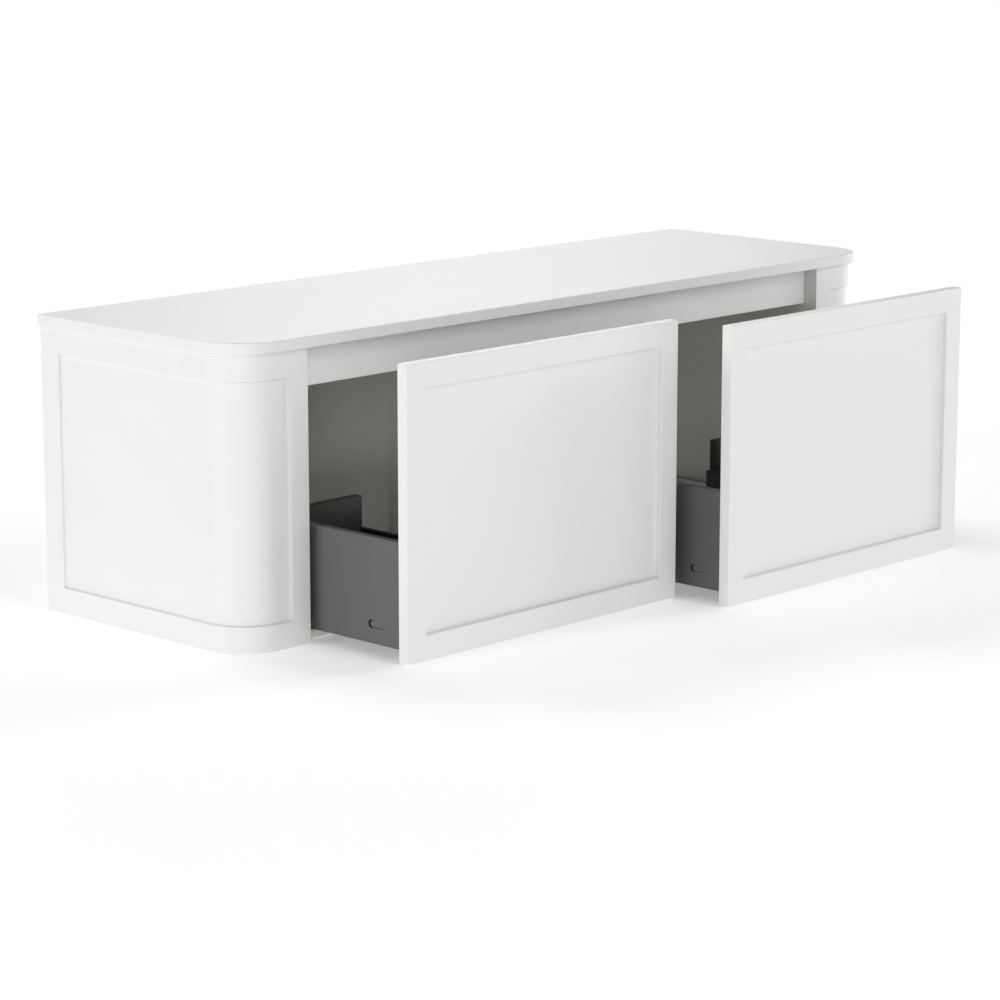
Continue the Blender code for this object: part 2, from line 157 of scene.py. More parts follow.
def powder_grain():
    """Fine powder coat: a close, even pimple with a few coarser ones."""
    group, given, made = shader_group(
        "powder_grain", {"Grains per metre": 1900.0, "Speckle": 0.1}, ["Height", "Speckle"]
    )
    at = stretched(group, (1, 1, 1))
    close = noise(group, at, given.outputs["Grains per metre"], detail=1.0)
    coarse = noise(group, at, scale=640.0, detail=1.0)
    height = calculate(group, "MULTIPLY_ADD", coarse, 0.5, close)
    speckle = calculate(group, "SUBTRACT", close, 0.5)
    group.links.new(height, made.inputs["Height"])
    speckle = calculate(group, "MULTIPLY", speckle, given.outputs["Speckle"])
    group.links.new(speckle, made.inputs["Speckle"])
    return group


def drawn_streaks():
    """Rolled zinc-plated strip: long streaks along the runner, broken by soft clouds."""
    group, given, made = shader_group(
        "drawn_streaks", {"Streaks per metre": 900.0, "Cloud": 0.3}, ["Height", "Tone", "Gloss"]
    )
    along = stretched(group, (1, 0.02, 1))
    streaks = noise(group, along, given.outputs["Streaks per metre"], detail=3.0, roughness=0.6)
    clouds = noise(group, stretched(group, (1, 1, 1)), scale=60.0, detail=3.0)
    cloud = calculate(group, "SUBTRACT", clouds, 0.5)
    cloud = calculate(group, "MULTIPLY", cloud, given.outputs["Cloud"])
    streak_tone = calculate(group, "SUBTRACT", streaks, 0.5)
    tone = calculate(group, "MULTIPLY_ADD", streak_tone, 0.25, cloud)
    group.links.new(streaks, made.inputs["Height"])
    group.links.new(tone, made.inputs["Tone"])
    group.links.new(cloud, made.inputs["Gloss"])
    return group


RELIEF_BUILDERS = (spray_ripple, pressed_pearl, powder_grain, drawn_streaks)
RELIEFS = {build.__name__: build() for build in RELIEF_BUILDERS}
print("shader groups:", ", ".join(RELIEFS))

# %% [markdown]
# ## Finishes
#
# A finish is a Principled shader with a base colour that a relief group varies a little, a roughness
# that follows it, and a very shallow bump. Real satin lacquer has ripples a few thousandths of a
# millimetre high, so the bump distances are that small as well: they bend a highlight and never
# show as lumps.


# %% A helper that makes one finish
def finish(name, colour, roughness, relief, settings, depth, tone, gloss=None, metallic=0.0):
    """A material whose colour and roughness vary with one relief group.

    settings are the group's inputs, and depth is the height of the bumps in metres. tone and gloss
    name the group's outputs that vary the colour and the roughness.
    """
    material = bpy.data.materials.new(name)
    material.use_nodes = True
    tree = material.node_tree
    shader = tree.nodes["Principled BSDF"]
    shader.inputs["Metallic"].default_value = metallic
    texture = tree.nodes.new("ShaderNodeGroup")
    texture.node_tree = RELIEFS[relief]
    for label, value in settings.items():
        texture.inputs[label].default_value = value
    bump = tree.nodes.new("ShaderNodeBump")
    bump.inputs["Distance"].default_value = depth
    tree.links.new(texture.outputs["Height"], bump.inputs["Height"])
    tree.links.new(bump.outputs["Normal"], shader.inputs["Normal"])
    shade = tree.nodes.new("ShaderNodeHueSaturation")
    shade.inputs["Color"].default_value = (*colour, 1.0)
    value = calculate(tree, "ADD", texture.outputs[tone], 1.0)
    tree.links.new(value, shade.inputs["Value"])
    tree.links.new(shade.outputs["Color"], shader.inputs["Base Color"])
    if gloss:
        varied = calculate(tree, "ADD", texture.outputs[gloss], roughness)
        tree.links.new(varied, shader.inputs["Roughness"])
    else:
        shader.inputs["Roughness"].default_value = roughness
    return material


# %% The finishes of this cabinet
lacquer = finish(
    "white_satin_lacquer",
    colour=(0.79, 0.787, 0.775),
    roughness=0.31,
    relief="spray_ripple",
    tone="Gloss cloud",
    gloss="Gloss cloud",
    settings={"Cloud": 0.03},
    depth=6e-6,
)
board = finish(
    "carcass_melamine",
    colour=(0.86, 0.85, 0.815),
    roughness=0.5,
    relief="pressed_pearl",
    tone="Tone",
    settings={"Mottle": 0.10},
    depth=3e-5,
)
black_board = finish(
    "black_melamine",
    colour=(0.03, 0.03, 0.029),
    roughness=0.48,
    relief="pressed_pearl",
    tone="Tone",
    settings={"Mottle": 0.5},
    depth=3e-5,
)
steel = finish(
    "anthracite_powder_coat",
    colour=(0.095, 0.097, 0.096),
    roughness=0.42,
    relief="powder_grain",
    tone="Speckle",
    settings={"Speckle": 0.25},
    depth=1.2e-5,
)
zinc = finish(
    "zinc_plated_strip",
    colour=(0.62, 0.62, 0.60),
    roughness=0.34,
    relief="drawn_streaks",
    tone="Tone",
    gloss="Gloss",
    settings={"Cloud": 0.25},
    depth=8e-6,
    metallic=1.0,
)
plastic = finish(
    "grey_moulded_plastic",
    colour=(0.095, 0.097, 0.096),
    roughness=0.5,
    relief="powder_grain",
    tone="Speckle",
    settings={"Grains per metre": 2600.0, "Speckle": 0.3},
    depth=8e-6,
)
elastomer = finish(
    "clear_elastomer",
    colour=(0.72, 0.72, 0.70),
    roughness=0.35,
    relief="spray_ripple",
    tone="Gloss cloud",
    gloss="Gloss cloud",
    settings={"Ripples per metre": 1500.0, "Cloud": 0.1},
    depth=4e-6,
)
print("finishes:", ", ".join(material.name for material in bpy.data.materials))

# %% [markdown]
# ## Turning a shape into a piece
#
# Every board of a real cabinet has its edges eased, because a sharp edge chips. A bevel modifier
# does the same here, and hardened normals keep the flat faces flat right up to the eased edge.
# Modelling each bevel by hand would give more control, but nothing here needs it.


# %% Helpers for pieces
SAME_PLACE = 1e-5


def loose(name, bm):
    """An object that is not a piece yet, or that only helps to make one."""
    bmesh.ops.recalc_face_normals(bm, faces=bm.faces)
    mesh = bpy.data.meshes.new(name)
    bm.to_mesh(mesh)
    bm.free()
    obj = bpy.data.objects.new(name, mesh)
    bpy.context.scene.collection.objects.link(obj)
    return obj


def baked(obj):
    """The object's modifiers become its mesh, and the modifiers go."""
    bpy.context.view_layer.update()
    evaluated = obj.evaluated_get(bpy.context.evaluated_depsgraph_get())
    mesh = bpy.data.meshes.new_from_object(evaluated)
    mesh.name = obj.name
    obj.modifiers.clear()
    obj.data = mesh
    return obj


def ease_edges(obj, width, segments, sharp_angle=40):
    """Rounds the sharp edges of a piece and keeps its flat faces flat."""
    obj.data.shade_smooth()
    bevel = obj.modifiers.new("eased edges", "BEVEL")
    bevel.width = width
    bevel.segments = segments
    bevel.limit_method = "ANGLE"
    bevel.angle_limit = math.radians(sharp_angle)
    bevel.harden_normals = True
    return baked(obj)


def piece(name, bm, material, body, stands_for=(), ease=0.0, segments=3, cutters=()):
    """A finished piece: shape, cuts, eased edges, finish, and the body that it rides on."""
    obj = loose(name, bm)
    obj.data.materials.append(material)
    if cutters:
        cut(obj, cutters)
    if ease:
        ease_edges(obj, ease, segments)
    return ready(obj, body, stands_for)


def ready(obj, body, stands_for=()):
    """Puts a piece on its body, and hides what it stands for."""
    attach(obj, body)
    if stands_for:
        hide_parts(*stands_for)
    return obj


def swept(outline, along, start, end):
    """A closed outline swept straight along axis 0, 1 or 2."""
    bm = bmesh.new()
    verts = []
    for first, second in outline:
        point = [first, second]
        point.insert(along, start)
        verts.append(bm.verts.new(point))
    made = bmesh.ops.extrude_face_region(bm, geom=[bm.faces.new(verts)])
    moved = [item for item in made["geom"] if isinstance(item, bmesh.types.BMVert)]
    shift = Vector((0, 0, 0))
    shift[along] = end - start
    bmesh.ops.translate(bm, verts=moved, vec=shift)
    return bm


def arc(centre, radius, start, end, steps):
    """Points round a centre, between two angles in degrees."""
    angles = [math.radians(start + (end - start) * i / steps) for i in range(steps + 1)]
    return [(centre[0] + radius * math.cos(a), centre[1] + radius * math.sin(a)) for a in angles]


def circle(centre, radius, steps):
    """A full turn of arc, without its last point, which is the first one again."""
    return arc(centre, radius, 0, 360, steps)[:-1]


# %% A helper for cutting
def cut(obj, cutters):
    """Takes closed cutters out of a piece, and deletes them."""
    for cutter in cutters:
        boolean = obj.modifiers.new("cut", "BOOLEAN")
        boolean.operation = "DIFFERENCE"
        boolean.solver = "EXACT"
        boolean.object = cutter
    baked(obj)
    for cutter in cutters:
        bpy.data.objects.remove(cutter)
    return obj


# %% [markdown]
# ## The top
#
# The real top is one board with its two front corners cut to a radius. Its shape follows a simple
# rule, so Geometry Nodes make it: a rectangle curve, a fillet whose radius is zero at the back, a
# fill and an extrusion. Changing one input gives a rounder or a thicker top, which a hand-made mesh
# would not.


# %% A helper for geometry node trees
def geometry_tree(name, inputs, placed=False):
    """A tree with a geometry output and named inputs, given as {label: (type, default)}.

    A placed tree starts from the points of the object that it grows on.
    """
    tree = bpy.data.node_groups.new(name, "GeometryNodeTree")
    if placed:
        tree.interface.new_socket("Places", in_out="INPUT", socket_type="NodeSocketGeometry")
    for label, (kind, default) in inputs.items():
        socket = tree.interface.new_socket(label, in_out="INPUT", socket_type=kind)
        if default is not None:
            socket.default_value = default
    tree.interface.new_socket("Geometry", in_out="OUTPUT", socket_type="NodeSocketGeometry")
    return tree, tree.nodes.new("NodeGroupInput"), tree.nodes.new("NodeGroupOutput")


def wire(tree, *pairs):
    """Links output and input sockets, given two at a time."""
    for source, target in zip(pairs[::2], pairs[1::2]):
        tree.links.new(source, target)


def grown(name, tree, values, places=None):
    """An object whose mesh a geometry node tree makes from the given input values."""
    obj = bpy.data.objects.new(name, places or bpy.data.meshes.new(name))
    bpy.context.scene.collection.objects.link(obj)
    nodes = obj.modifiers.new("shape", "NODES")
    nodes.node_group = tree
    sockets = {s.name: s.identifier for s in tree.interface.items_tree if s.in_out == "INPUT"}
    for label, value in values.items():
        nodes[sockets[label]] = value
    baked(obj)
    obj.data.materials.clear()
    obj.data.materials.append(values["Finish"])
    obj.data.polygons.foreach_set("material_index", [0] * len(obj.data.polygons))
    return obj


# %% The tree of the top
CORNER_STEPS = 40


def top_tree():
    """A board with rounded front corners, lying between two heights."""
    tree, given, made = geometry_tree(
        "rounded_top",
        {
            "Width": ("NodeSocketFloat", 1.5),
            "Depth": ("NodeSocketFloat", 0.5),
            "Thickness": ("NodeSocketFloat", 0.018),
            "Corner radius": ("NodeSocketFloat", 0.08),
            "Place": ("NodeSocketVector", None),
            "Finish": ("NodeSocketMaterial", None),
        },
    )
    add = tree.nodes.new
    plan = add("GeometryNodeCurvePrimitiveQuadrilateral")
    fillet = add("GeometryNodeFilletCurve")
    fillet.mode = "POLY"
    fillet.inputs["Count"].default_value = CORNER_STEPS
    place = add("GeometryNodeInputPosition")
    split = add("ShaderNodeSeparateXYZ")
    front = add("FunctionNodeCompare")
    front.operation = "LESS_THAN"
    radius = add("GeometryNodeSwitch")
    radius.input_type = "FLOAT"
    fill = add("GeometryNodeFillCurve")
    fill.mode = "NGONS"
    extrude = add("GeometryNodeExtrudeMesh")
    extrude.inputs["Individual"].default_value = False
    back = add("GeometryNodeFlipFaces")
    join = add("GeometryNodeJoinGeometry")
    merge = add("GeometryNodeMergeByDistance")
    merge.inputs["Distance"].default_value = SAME_PLACE
    move = add("GeometryNodeTransform")
    real = add("GeometryNodeRealizeInstances")
    paint = add("GeometryNodeSetMaterial")
    wire(
        tree,
        given.outputs["Width"], plan.inputs["Width"],
        given.outputs["Depth"], plan.inputs["Height"],
        plan.outputs["Curve"], fillet.inputs["Curve"],
        place.outputs["Position"], split.inputs["Vector"],
        split.outputs["Y"], front.inputs["A"],
        front.outputs["Result"], radius.inputs["Switch"],
        given.outputs["Corner radius"], radius.inputs["True"],
        radius.outputs["Output"], fillet.inputs["Radius"],
        fillet.outputs["Curve"], fill.inputs["Curve"],
        fill.outputs["Mesh"], extrude.inputs["Mesh"],
        given.outputs["Thickness"], extrude.inputs["Offset Scale"],
        fill.outputs["Mesh"], back.inputs["Mesh"],
        extrude.outputs["Mesh"], join.inputs["Geometry"],
        back.outputs["Mesh"], join.inputs["Geometry"],
        join.outputs["Geometry"], merge.inputs["Geometry"],
        merge.outputs["Geometry"], move.inputs["Geometry"],
        given.outputs["Place"], move.inputs["Translation"],
        move.outputs["Geometry"], real.inputs["Geometry"],
        real.outputs["Geometry"], paint.inputs["Geometry"],
        given.outputs["Finish"], paint.inputs["Material"],
        paint.outputs["Geometry"], made.inputs["Geometry"],
    )
    return tree


# %% Make the top
TOP_RADIUS = 0.078
TOP_EASE = 0.0018
top_low, top_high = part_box("top_slab")
top_size = top_high - top_low
top = grown(
    "top",
    top_tree(),
    {
        "Width": top_size.x,
        "Depth": top_size.y,
        "Thickness": top_size.z,
        "Corner radius": TOP_RADIUS,
        "Place": ((top_low.x + top_high.x) / 2, (top_low.y + top_high.y) / 2, top_low.z),
        "Finish": lacquer,
    },
)
ease_edges(top, TOP_EASE, segments=4)
ready(top, "cabinet", ["top_slab"])
print("top:", [round(v, 4) for v in top.dimensions], len(top.data.polygons), "faces")

# %% [markdown]
# ## The end panels
#
# Each end panel is a board bent round the front corner, with a shallow field let into its outer
# face. The field runs round the bend without a break. It could be cut with a Boolean, but a curved
# cutter leaves ragged shading, so the panel is laid out as a grid: places along the bent line one
# way, heights the other way, and each point in the field is simply set further in.

# %% Sizes of the end panels
SHELL = 0.019
BEND_RADIUS = 0.0755
FIELD_MARGIN = 0.041
FIELD_BACK_MARGIN = 0.042
FIELD_FRONT_MARGIN = 0.0365
FIELD_DEPTH = 0.0042
FIELD_SLOPE = 0.0016
PANEL_EASE = 0.0010
BEND_STEPS = 40


# %% The grid of an end panel
def bent_line(low, high):
    """Places along the outer face, from the back to the front edge, as (point, outward)."""
    back, front = high.y, low.y
    edge, outside = low.x, high.x
    corner = Vector((outside - BEND_RADIUS, front + BEND_RADIUS))
    field_back = back - FIELD_BACK_MARGIN
    field_front = edge + FIELD_FRONT_MARGIN
    line = [(Vector((outside, y)), Vector((1, 0))) for y in (back, field_back, field_back - FIELD_SLOPE)]
    for step in range(BEND_STEPS + 1):
        turn = math.pi / 2 * step / BEND_STEPS
        outward = Vector((math.cos(turn), -math.sin(turn)))
        line.append((corner + BEND_RADIUS * outward, outward))
    for x in (field_front + FIELD_SLOPE, field_front, edge):
        line.append((Vector((x, front)), Vector((0, -1))))
    return line


def bent_panel(low, high, sign):
    """The closed shell of one end panel; low and high are its corners on the right."""
    field_low, field_high = low.z + FIELD_MARGIN, high.z - FIELD_MARGIN
    heights = [
        (low.z, 0),
        (field_low, 0),
        (field_low + FIELD_SLOPE, 1),
        (field_high - FIELD_SLOPE, 1),
        (field_high, 0),
        (high.z, 0),
    ]
    line = bent_line(low, high)
    bm = bmesh.new()
    outer, inner = [], []
    for index, (point, outward) in enumerate(line):
        inside = 2 <= index <= len(line) - 3
        column = []
        for z, sunk in heights:
            at = point - outward * (FIELD_DEPTH if sunk and inside else 0)
            column.append(bm.verts.new((sign * at.x, at.y, z)))
        outer.append(column)
        at = point - outward * SHELL
        inner.append([bm.verts.new((sign * at.x, at.y, z)) for z in (low.z, high.z)])
    for left, right, back_left, back_right in zip(outer, outer[1:], inner, inner[1:]):
        for row in range(len(heights) - 1):
            bm.faces.new((left[row], right[row], right[row + 1], left[row + 1]))
        bm.faces.new((back_left[0], back_left[1], back_right[1], back_right[0]))
        bm.faces.new((left[0], back_left[0], back_right[0], right[0]))
        bm.faces.new((left[-1], right[-1], back_right[1], back_left[1]))
    for column, back in ((outer[0], inner[0]), (outer[-1], inner[-1])):
        bm.faces.new([*column, back[1], back[0]])
    return bm


# %% Make the end panels
right_low, right_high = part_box("right_end_panel")
for side, sign in SIDES.items():
    panel = piece(
        f"{side}_bent_end",
        bent_panel(right_low, right_high, sign),
        lacquer,
        "cabinet",
        [f"{side}_end_panel"],
        ease=PANEL_EASE,
    )
    print(panel.name, [round(v, 4) for v in panel.dimensions], len(panel.data.polygons), "faces")

# %% [markdown]
# ## The front rail
#
# The rail under the top is a plain board whose two ends are rounded upright, so that it meets the
# end panels without a sharp corner. An outline swept upwards is the shortest way to make it.

# %% Make the front rail
RAIL_END_RADIUS = 0.010
RAIL_EASE = 0.0016
rail_low, rail_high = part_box("front_rail")
left_centre = (rail_low.x + RAIL_END_RADIUS, rail_low.y + RAIL_END_RADIUS)
right_centre = (rail_high.x - RAIL_END_RADIUS, rail_low.y + RAIL_END_RADIUS)
rail_outline = [
    (rail_high.x, rail_high.y),
    (rail_low.x, rail_high.y),
    *arc(left_centre, RAIL_END_RADIUS, 180, 270, steps=12),
    *arc(right_centre, RAIL_END_RADIUS, 270, 360, steps=12),
]
rail = piece(
    "rail",
    swept(rail_outline, 2, rail_low.z, rail_high.z),
    lacquer,
    "cabinet",
    ["front_rail"],
    ease=RAIL_EASE,
    segments=4,
)
print("rail:", [round(v, 4) for v in rail.dimensions])

# %% [markdown]
# ## Boards
#
# The remaining boards of the carcass and of the drawer boxes are flat, and the CAD frame already has
# their shape. A copy of each CAD mesh, with its triangles merged back into whole faces and its edges
# eased, is all that is missing. The CAD meshes themselves stay untouched.


# %% A helper that refines a CAD node
FLAT_WITHIN = math.radians(0.5)


def refined(node, body, material, ease, segments=2, cutters=()):
    """A copy of a CAD node with whole faces and eased edges, which stands for it."""
    bm = bmesh.new()
    bm.from_mesh(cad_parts[node].data)
    bmesh.ops.remove_doubles(bm, verts=bm.verts, dist=SAME_PLACE)
    bmesh.ops.dissolve_limit(bm, angle_limit=FLAT_WITHIN, verts=bm.verts, edges=bm.edges)
    return piece(f"{node}_made", bm, material, body, [node], ease, segments, cutters)


# %% Refine the boards
BOARD_EASE = 0.0006
BLACK_BOARD_EASE = 0.0008
for node in (
    "left_carcass_side",
    "right_carcass_side",
    "centre_partition",
    "bottom_panel",
    "left_end_base",
    "right_end_base",
):
    refined(node, "cabinet", board, BOARD_EASE)
for side in SIDES:
    for part in ("bottom", "outer_rear", "inner_rear", "cutout_liner"):
        node = f"{side}_drawer_{part}"
        refined(node, f"{side}_drawer", black_board, BLACK_BOARD_EASE)

# %% [markdown]
# ## The drawer fronts
#
# A framed front has a flat border and a sunk field, with steep, slightly sloped walls between. On the
# real front the border and the field are milled from one board, so the piece is one mesh too: the
# back edge, the front edge, the border's inner edge and the field's edge are four rectangles, joined
# by mitred faces. Five separate boards would show joints that a milled front does not have.

# %% Sizes of the fronts
FRONT_FRAME = 0.0385
FRONT_FIELD_DEPTH = 0.0075
FRONT_FIELD_SLOPE = 0.0015
FRONT_EASE = 0.0010


# %% Make the drawer fronts
def milled_front(low, high):
    """A board with a sunk field in its -Y face."""
    bm = bmesh.new()
    rings = []
    for inset, y in (
        (0, high.y),
        (0, low.y),
        (FRONT_FRAME, low.y),
        (FRONT_FRAME + FRONT_FIELD_SLOPE, low.y + FRONT_FIELD_DEPTH),
    ):
        left, right = low.x + inset, high.x - inset
        bottom, top_edge = low.z + inset, high.z - inset
        corners = ((left, bottom), (right, bottom), (right, top_edge), (left, top_edge))
        rings.append([bm.verts.new((x, y, z)) for x, z in corners])
    bm.faces.new(rings[0])
    bm.faces.new(rings[-1])
    for ring, following in zip(rings, rings[1:]):
        for corner in range(4):
            after = (corner + 1) % 4
            bm.faces.new((ring[corner], ring[after], following[after], following[corner]))
    return bm


for side in SIDES:
    front = piece(
        f"{side}_framed_front",
        milled_front(*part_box(f"{side}_drawer_front")),
        lacquer,
        f"{side}_drawer",
        [f"{side}_drawer_front"],
        ease=FRONT_EASE,
    )
    print(front.name, [round(v, 4) for v in front.dimensions])

# %% [markdown]
# ## The folded steel sides
#
# Each drawer side is one strip of steel folded over a form: up on the outside, across the top with
# two small bends, and down on the inside. Near the front a round hole shows a cam that sets the
# height of the front, and a fine slot beside it guides the cam's lever. The strip is drawn as a
# section with true bend radii and swept along the drawer. Solidify could give the thickness, but a
# drawn section keeps the inside of each bend round as well.

# %% Sizes of the steel sides
STRIP = 0.0012
BEND = 0.0026
HEM = 0.004
HEM_BELOW_BOARD = 0.0015
HOLE_BACK = 0.0645
HOLE_Z = 0.050
HOLE_RADIUS = 0.0068
SLOT_ABOVE_HOLE_FOOT = 0.0012
SLOT_HEIGHT = 0.0009
SLOT_START = 0.024
SLOT_END = 0.004
CUT_CLEARANCE = 0.002
CAM_FORWARD = 0.0022
CAM_GROWTH = 0.0002
CAM_EASE = 0.0004


def to_carcass(side, place):
    """+1 or -1: the way along X from a drawer's inside to one of its sides."""
    return SIDES[side] * (1 if place == "outer" else -1)


# %% The section of a folded side
def folded_section(inside_x, outside_x, low_z, inner_low_z, top_z):
    """The closed outline of the folded strip; outside_x is the face to the carcass."""
    sign = 1 if inside_x > outside_x else -1
    width = abs(inside_x - outside_x)

    def at(depth, z):
        return (outside_x + sign * depth, z)

    def bend(depth, z, radius, start, end, steps=6):
        return [at(depth + p[0], z + p[1]) for p in arc((0, 0), radius, start, end, steps)]

    inner = BEND - STRIP
    outline = [at(0, low_z)]
    outline += bend(BEND, top_z - BEND, BEND, 180, 90)
    outline += bend(width - BEND, top_z - BEND, BEND, 90, 0)
    outline += [at(width, inner_low_z), at(width - HEM, inner_low_z)]
    outline += [at(width - HEM, inner_low_z + STRIP), at(width - STRIP, inner_low_z + STRIP)]
    outline += bend(width - BEND, top_z - BEND, inner, 0, 90)
    outline += bend(BEND, top_z - BEND, inner, 90, 180)
    outline += [at(STRIP, low_z)]
    return outline


# %% Make the steel sides and their cams
def steel_side(side, place):
    """One folded side, with the hole and the slot cut through its outer wall only."""
    node = f"{side}_drawer_{place}_side"
    low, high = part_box(node)
    outward = to_carcass(side, place)
    outside, inside = (high.x, low.x) if outward > 0 else (low.x, high.x)
    inner_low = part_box(f"{side}_drawer_bottom")[0].z - HEM_BELOW_BOARD
    section = folded_section(inside, outside, low.z, inner_low, high.z)
    cut_start = outside + outward * CUT_CLEARANCE
    cut_end = outside - outward * 2 * STRIP
    hole_y = low.y + HOLE_BACK
    hole = swept(circle((hole_y, HOLE_Z), HOLE_RADIUS, steps=40), 0, cut_start, cut_end)
    slot_low = HOLE_Z - HOLE_RADIUS + SLOT_ABOVE_HOLE_FOOT
    slot_outline = [
        (hole_y - SLOT_START, slot_low),
        (hole_y - SLOT_END, slot_low),
        (hole_y - SLOT_END, slot_low + SLOT_HEIGHT),
        (hole_y - SLOT_START, slot_low + SLOT_HEIGHT),
    ]
    slot = swept(slot_outline, 0, cut_start, cut_end)
    made = loose(f"{side}_{place}_folded_side", swept(section, 1, low.y, high.y))
    made.data.materials.append(steel)
    cut(made, [loose("hole", hole), loose("slot", slot)])
    made.data.shade_smooth()
    made.data.set_sharp_from_angle(angle=math.radians(35))
    return ready(made, f"{side}_drawer", [node])


def cam(side, place):
    """The cam that fills the front of the hole, so that a dark crescent stays open behind it."""
    node = f"{side}_{place}_adjuster"
    low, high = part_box(node)
    centre = ((low.y + high.y) / 2 - CAM_FORWARD, (low.z + high.z) / 2)
    outline = circle(centre, (high.z - low.z) / 2 + CAM_GROWTH, steps=32)
    return piece(
        f"{side}_{place}_cam",
        swept(outline, 0, low.x, high.x),
        plastic,
        f"{side}_drawer",
        [node],
        ease=CAM_EASE,
        segments=2,
    )


for side in SIDES:
    for place in ("outer", "inner"):
        folded = steel_side(side, place)
        cam(side, place)
        print(folded.name, len(folded.data.polygons), "faces")

# %% [markdown]
# ## Fittings
#
# Inside the steel sides sit the brackets that carry the front, and below them the telescopic
# runners. Angle brackets behind the top hang the cabinet on a wall, and soft dots on the backs of the
# fronts quieten them as they close. Real ones are rolled, stamped or moulded. Their balls and
# rivets could be modelled too, but the boards and the steel sides hide them, so the frame's shapes
# with eased edges are enough.

# %% Refine the fittings
HANGER_EASE = 0.0004
RUNNER_EASE = 0.0003
BRACKET_EASE = 0.0006
BUMPER_EASE = 0.00025
for side in SIDES:
    drawer_body, middle_body = f"{side}_drawer", f"{side}_middle_runners"
    refined(f"{side}_hanger_bracket", "cabinet", zinc, HANGER_EASE)
    for place in ("outer", "inner"):
        for part, body, ease in (
            ("cabinet_runner", "cabinet", RUNNER_EASE),
            ("middle_runner", middle_body, RUNNER_EASE),
            ("drawer_runner", drawer_body, RUNNER_EASE),
            ("front_bracket", drawer_body, BRACKET_EASE),
        ):
            refined(f"{side}_{place}_{part}", body, zinc, ease)
    for spot in ("top_inner", "top_outer", "low_inner", "low_outer"):
        refined(f"{side}_bumper_{spot}", drawer_body, elastomer, BUMPER_EASE)

# %% [markdown]
# ## Screws
#
# The back panel is screwed on from behind, into the three uprights and the bottom, and each cabinet
# runner is screwed to its board. A screw repeats, so Geometry Nodes make it: one head with a cross
# recess, set on every point of a small mesh. Each point carries the direction that its screw faces,
# and a random turn, with a fixed seed, keeps the crosses from lining up. Copying one head by hand
# would work too, but then a new row means new copies, and here it means one more point.


# %% The tree of the screw heads
HEAD_SIDES = 24
RECESS_REACH = 1.2


def screw_tree():
    """A cross-recess head on every point, looking along the point's "facing"."""
    tree, given, made = geometry_tree(
        "screw_heads",
        {
            "Head radius": ("NodeSocketFloat", 0.0035),
            "Head height": ("NodeSocketFloat", 0.0016),
            "Crown": ("NodeSocketFloat", 0.85),
            "Recess width": ("NodeSocketFloat", 0.0010),
            "Seed": ("NodeSocketInt", 5),
            "Finish": ("NodeSocketMaterial", None),
        },
        placed=True,
    )
    add = tree.nodes.new
    crown = add("ShaderNodeMath")
    crown.operation = "MULTIPLY"
    head = add("GeometryNodeMeshCone")
    head.inputs["Vertices"].default_value = HEAD_SIDES
    reach = add("ShaderNodeMath")
    reach.operation = "MULTIPLY"
    reach.inputs[1].default_value = RECESS_REACH
    bar_size = add("ShaderNodeCombineXYZ")
    bar = add("GeometryNodeMeshCube")
    lift = add("ShaderNodeCombineXYZ")
    raised = add("GeometryNodeTransform")
    crossed = add("GeometryNodeTransform")
    crossed.inputs["Rotation"].default_value = (0, 0, math.pi / 2)
    recess = add("GeometryNodeMeshBoolean")
    recess.operation = "DIFFERENCE"
    facing = add("GeometryNodeInputNamedAttribute")
    facing.data_type = "FLOAT_VECTOR"
    facing.inputs["Name"].default_value = "facing"
    aim = add("FunctionNodeAlignRotationToVector")
    chance = add("FunctionNodeRandomValue")
    chance.data_type = "FLOAT_VECTOR"
    chance.inputs["Min"].default_value = (0, 0, 0)
    chance.inputs["Max"].default_value = (0, 0, math.pi)
    turn = add("FunctionNodeRotateRotation")
    turn.rotation_space = "LOCAL"
    spread_out = add("GeometryNodeInstanceOnPoints")
    real = add("GeometryNodeRealizeInstances")
    paint = add("GeometryNodeSetMaterial")
    wire(
        tree,
        given.outputs["Head radius"], crown.inputs[0],
        given.outputs["Crown"], crown.inputs[1],
        given.outputs["Head radius"], head.inputs["Radius Bottom"],
        crown.outputs["Value"], head.inputs["Radius Top"],
        given.outputs["Head height"], head.inputs["Depth"],
        given.outputs["Head radius"], reach.inputs[0],
        reach.outputs["Value"], bar_size.inputs["X"],
        given.outputs["Recess width"], bar_size.inputs["Y"],
        given.outputs["Head height"], bar_size.inputs["Z"],
        bar_size.outputs["Vector"], bar.inputs["Size"],
        given.outputs["Head height"], lift.inputs["Z"],
        bar.outputs["Mesh"], raised.inputs["Geometry"],
        lift.outputs["Vector"], raised.inputs["Translation"],
        raised.outputs["Geometry"], crossed.inputs["Geometry"],
        head.outputs["Mesh"], recess.inputs["Mesh 1"],
        raised.outputs["Geometry"], recess.inputs["Mesh 2"],
        crossed.outputs["Geometry"], recess.inputs["Mesh 2"],
        facing.outputs["Attribute"], aim.inputs["Vector"],
        given.outputs["Seed"], chance.inputs["Seed"],
        aim.outputs["Rotation"], turn.inputs["Rotation"],
        chance.outputs["Value"], turn.inputs["Rotate By"],
        given.outputs["Places"], spread_out.inputs["Points"],
        recess.outputs["Mesh"], spread_out.inputs["Instance"],
        turn.outputs["Rotation"], spread_out.inputs["Rotation"],
        spread_out.outputs["Instances"], real.inputs["Geometry"],
        real.outputs["Geometry"], paint.inputs["Geometry"],
        given.outputs["Finish"], paint.inputs["Material"],
        paint.outputs["Geometry"], made.inputs["Geometry"],
    )
    return tree


SCREWS = screw_tree()


# %% Helpers for rows of screws
def row(start, end, count):
    """Evenly spaced places between two points, both included."""
    start, end = Vector(start), Vector(end)
    return [start.lerp(end, step / (count - 1)) for step in range(count)]


